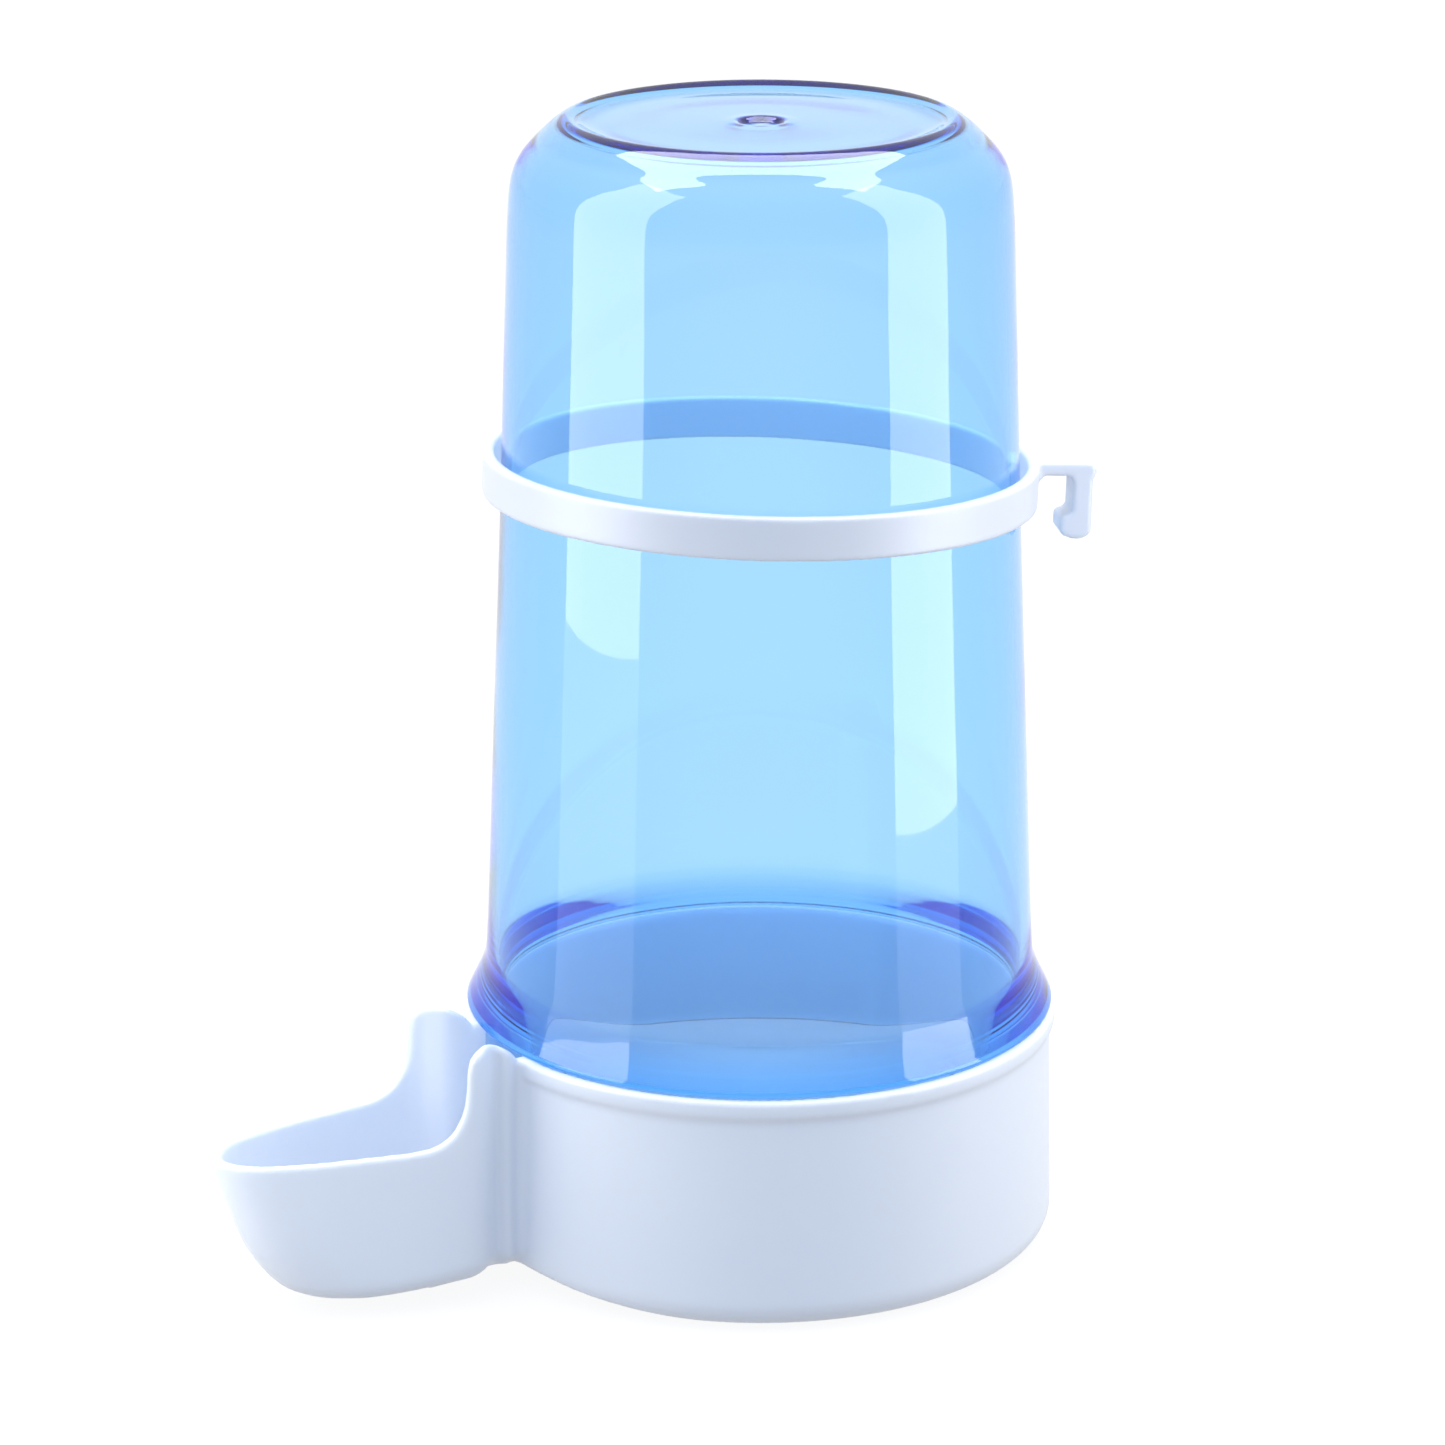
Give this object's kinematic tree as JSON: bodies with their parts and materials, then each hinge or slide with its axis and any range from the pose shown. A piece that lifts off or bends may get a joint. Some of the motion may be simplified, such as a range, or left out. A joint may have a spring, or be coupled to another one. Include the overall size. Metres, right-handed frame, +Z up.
{
  "type": "cage drinker",
  "caption": "Gravity-fed cage drinker: a clear blue inverted water tank in a white cup with a drinking trough, and a white ring with a cage hook.",
  "frame": {"origin": "centre of the cup's flat underside, on the axis of the cup, the tank and the ring", "axes": "+Z up along the axis of the tank; the trough points along -X; the ring's hook stands 20 degrees from +X towards -Y"},
  "size_m": [0.1154, 0.0754, 0.1442],
  "materials": {
    "base_white": "satin moulded polypropylene, slightly bluish white",
    "tank_clear_blue": "clear blue tinted polystyrene, polished",
    "ring_white": "satin moulded polypropylene, white"
  },
  "bodies": {
    "base": {"drinking_base": "base_white"},
    "tank": {"water_tank": "tank_clear_blue"},
    "ring": {"hanging_ring": "ring_white"}
  },
  "joints": [
    {"name": "tank_lift", "type": "slide", "parent": "base", "child": "tank", "axis": [0, 0, 1], "range_m": [0, 0.04]},
    {"name": "ring_turn", "type": "hinge", "parent": "tank", "child": "ring", "pos_m": [0, 0, 0.09905], "axis": [0, 0, 1], "continuous": true}
  ]
}
